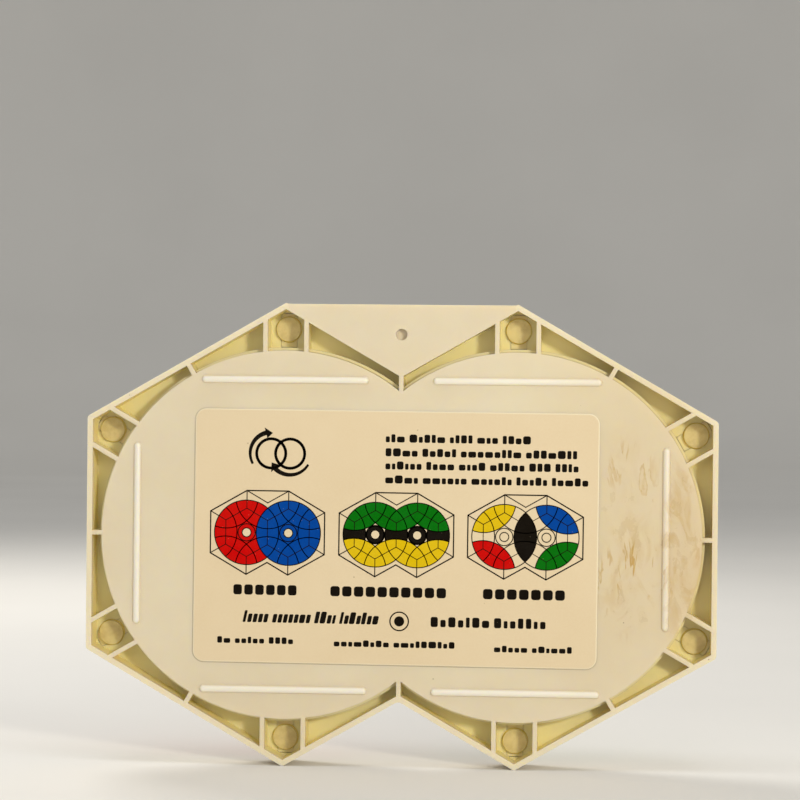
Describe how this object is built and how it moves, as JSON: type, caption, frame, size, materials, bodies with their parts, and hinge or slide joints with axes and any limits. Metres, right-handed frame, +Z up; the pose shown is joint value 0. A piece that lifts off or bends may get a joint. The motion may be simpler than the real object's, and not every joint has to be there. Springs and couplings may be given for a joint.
{
  "type": "two-disc sliding tile puzzle",
  "caption": "Flat hand-held puzzle: two overlapping discs of curved tiles turn round fixed hubs in a double-hexagon case with a ribbed back and a label.",
  "frame": {"origin": "centre of the bounding box seen from above, at the height of the two bottom corners that the puzzle stands on", "axes": "+Z up along the case, +X along the line of the two disc axes (to the right seen from the back), +Y out of the tile face; the ribbed back looks along -Y"},
  "size_m": [0.1986, 0.016, 0.1459],
  "materials": {
    "ivory_shell": "smooth moulded polystyrene, aged to cream",
    "ivory_frame": "smooth moulded polystyrene, aged to cream",
    "ivory_tile": "smooth moulded polystyrene",
    "label_card": "printed film, satin",
    "steel": "zinc-plated screw",
    "black_sticker": "vinyl",
    "yellow_sticker": "vinyl",
    "red_sticker": "vinyl",
    "blue_sticker": "vinyl",
    "green_sticker": "vinyl"
  },
  "bodies": {
    "case": {"back_shell": "ivory_shell", "front_frame": "ivory_frame", "rear_label": "label_card", "left_screw": "steel", "right_screw": "steel"},
    "left_disc": {"left_hub": "ivory_tile", "left_hub_ring": "black_sticker", "left_hub_cap": "ivory_tile", "left_stone_1": "ivory_tile", "left_stone_1_sticker": "yellow_sticker", "left_stone_2": "ivory_tile", "left_stone_2_sticker": "yellow_sticker", "left_stone_3": "ivory_tile", "left_stone_3_sticker": "red_sticker", "left_stone_4": "ivory_tile", "left_stone_4_sticker": "red_sticker", "left_bone_1": "ivory_tile", "left_bone_2": "ivory_tile", "left_bone_2_sticker": "yellow_sticker", "left_bone_3": "ivory_tile", "left_bone_4": "ivory_tile", "left_bone_4_sticker": "red_sticker", "left_bone_5": "ivory_tile"},
    "right_disc": {"right_hub": "ivory_tile", "right_hub_ring": "black_sticker", "right_hub_cap": "ivory_tile", "right_stone_1": "ivory_tile", "right_stone_1_sticker": "blue_sticker", "right_stone_2": "ivory_tile", "right_stone_2_sticker": "blue_sticker", "right_stone_3": "ivory_tile", "right_stone_3_sticker": "green_sticker", "right_stone_4": "ivory_tile", "right_stone_4_sticker": "green_sticker", "right_bone_1": "ivory_tile", "right_bone_2": "ivory_tile", "right_bone_2_sticker": "blue_sticker", "right_bone_3": "ivory_tile", "right_bone_4": "ivory_tile", "right_bone_4_sticker": "green_sticker", "right_bone_5": "ivory_tile"},
    "shared_tiles": {"shared_stone_upper": "ivory_tile", "shared_stone_upper_sticker": "black_sticker", "shared_stone_lower": "ivory_tile", "shared_stone_lower_sticker": "black_sticker", "shared_bone": "ivory_tile", "shared_bone_sticker": "black_sticker"}
  },
  "joints": [
    {"name": "left_turn", "type": "hinge", "parent": "case", "child": "left_disc", "pos_m": [-0.0365, 0, 0.07286], "axis": [0, 1, 0], "continuous": true},
    {"name": "right_turn", "type": "hinge", "parent": "case", "child": "right_disc", "pos_m": [0.0365, 0, 0.07286], "axis": [0, 1, 0], "range_deg": [-360, 360]},
    {"name": "shared_turn", "type": "hinge", "parent": "right_disc", "child": "shared_tiles", "pos_m": [-0.0365, 0, 0.07286], "axis": [0, 1, 0], "continuous": true}
  ],
  "couplings": [
    {"joint": "shared_turn", "follows": "left_turn", "ratio": 1}
  ]
}
